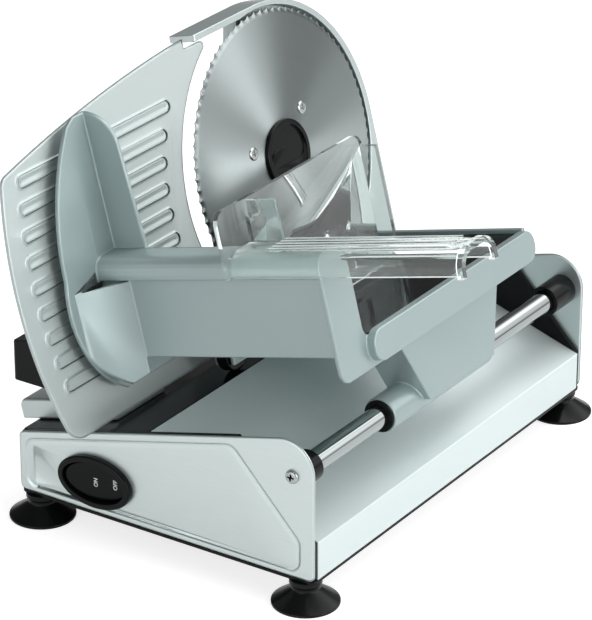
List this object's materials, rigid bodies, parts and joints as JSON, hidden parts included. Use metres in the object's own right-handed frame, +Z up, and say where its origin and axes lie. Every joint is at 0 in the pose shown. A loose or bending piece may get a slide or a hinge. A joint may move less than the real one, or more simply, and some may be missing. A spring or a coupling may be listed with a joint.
{
  "type": "food slicer",
  "caption": "Electric food slicer with a serrated round blade, ribbed sliding fence, tilting carriage on a guide rod, clear pusher and suction feet.",
  "frame": {"origin": "on the standing surface, under the middle of the bounding box", "axes": "+X towards the carriage side, +Y to the back, +Z up; the deck and blade lean 14.5 degrees about Y"},
  "size_m": [0.3332, 0.378, 0.2659],
  "materials": {
    "panel_steel": "satin sheet steel",
    "black_plastic": "black moulded plastic",
    "foot_rubber": "black rubber",
    "rod_chrome": "ground and plated",
    "screw_steel": "bright steel",
    "silver_casting": "silver lacquered casting",
    "bush_bronze": "sintered bronze",
    "motor_steel": "plain steel can",
    "gear_nylon": "natural nylon",
    "blade_steel": "ground stainless steel",
    "fence_aluminium": "satin pressed sheet",
    "grey_plastic": "grey moulded plastic",
    "table_steel": "polished stainless sheet",
    "clear_plastic": "clear moulded plastic"
  },
  "bodies": {
    "base": {"front_panel": "panel_steel", "rear_panel": "panel_steel", "front_end_frame": "black_plastic", "rear_end_frame": "black_plastic", "deck_cover": "black_plastic", "tray_cover": "panel_steel", "bottom_plate": "black_plastic", "foot_front_left": "foot_rubber", "foot_front_right": "foot_rubber", "foot_rear_left": "foot_rubber", "foot_rear_right": "foot_rubber", "guide_rod": "rod_chrome", "rod_collar_front": "black_plastic", "rod_collar_rear": "black_plastic", "rod_screws": "screw_steel", "switch_bezel": "black_plastic", "switch_body": "black_plastic", "cord_gland": "black_plastic", "blade_housing": "silver_casting", "shaft_bush": "bush_bronze", "motor_can": "motor_steel", "motor_cup": "black_plastic", "worm_block": "silver_casting", "motor_cover": "black_plastic", "slide_screws": "screw_steel", "guide_block": "black_plastic"},
    "rocker": {"switch_rocker": "black_plastic"},
    "blade_set": {"blade": "blade_steel", "blade_carrier": "black_plastic", "blade_screws": "screw_steel", "drive_gear": "gear_nylon", "gear_retainer": "screw_steel"},
    "lock": {"blade_lock": "black_plastic"},
    "rotor": {"motor_rotor": "motor_steel"},
    "fence": {"fence_plate": "fence_aluminium", "fence_slide": "silver_casting", "fence_arm": "black_plastic", "fence_nut": "silver_casting"},
    "thickness_control": {"thickness_spindle": "screw_steel", "thickness_knob": "black_plastic"},
    "runner": {"rod_bush_front": "black_plastic", "rod_bush_rear": "black_plastic"},
    "carriage": {"carriage_body": "grey_plastic", "carriage_table": "table_steel", "roller_pin": "screw_steel"},
    "roller": {"deck_roller": "black_plastic"},
    "pusher": {"pusher": "clear_plastic"}
  },
  "joints": [
    {"name": "carriage_slide", "type": "slide", "parent": "base", "child": "runner", "axis": [0, 1, 0], "range_m": [-0.073, 0.073]},
    {"name": "carriage_tilt", "type": "hinge", "parent": "runner", "child": "carriage", "pos_m": [0.06336, 0.0115, 0.08503], "axis": [0, 1, 0], "range_deg": [0, 60]},
    {"name": "roller_spin", "type": "hinge", "parent": "carriage", "child": "roller", "pos_m": [-0.05289, -0.0411, 0.0908], "axis": [0.9681, 0, 0.2504], "range_deg": [-411, 411]},
    {"name": "pusher_slide", "type": "slide", "parent": "carriage", "child": "pusher", "axis": [0.9681, 0, 0.2504], "range_m": [-0.074, 0.05]},
    {"name": "blade_spin", "type": "hinge", "parent": "base", "child": "blade_set", "pos_m": [-0.07734, 0.0875, 0.17496], "axis": [0.9681, 0, 0.2504], "continuous": true},
    {"name": "motor_spin", "type": "hinge", "parent": "base", "child": "rotor", "pos_m": [-0.13639, 0.1245, 0.15969], "axis": [-0.2504, 0, 0.9681], "continuous": true},
    {"name": "blade_lock_turn", "type": "hinge", "parent": "blade_set", "child": "lock", "pos_m": [-0.07734, 0.0875, 0.17496], "axis": [0.9681, 0, 0.2504], "range_deg": [0, 90]},
    {"name": "fence_travel", "type": "slide", "parent": "base", "child": "fence", "axis": [-0.9681, 0, -0.2504], "range_m": [0, 0.015]},
    {"name": "thickness_knob_turn", "type": "hinge", "parent": "base", "child": "thickness_control", "pos_m": [-0.05793, -0.0435, 0.09993], "axis": [0.9681, 0, 0.2504], "range_deg": [0, 300]},
    {"name": "switch_rock", "type": "hinge", "parent": "base", "child": "rocker", "pos_m": [-0.07989, -0.1415, 0.0398], "axis": [0, 0, 1], "range_deg": [-12, 0]}
  ],
  "couplings": [
    {"joint": "roller_spin", "follows": "carriage_slide", "rad_per_m": -95.238},
    {"joint": "motor_spin", "follows": "blade_spin", "ratio": -40},
    {"joint": "thickness_knob_turn", "follows": "fence_travel", "rad_per_m": 349}
  ]
}
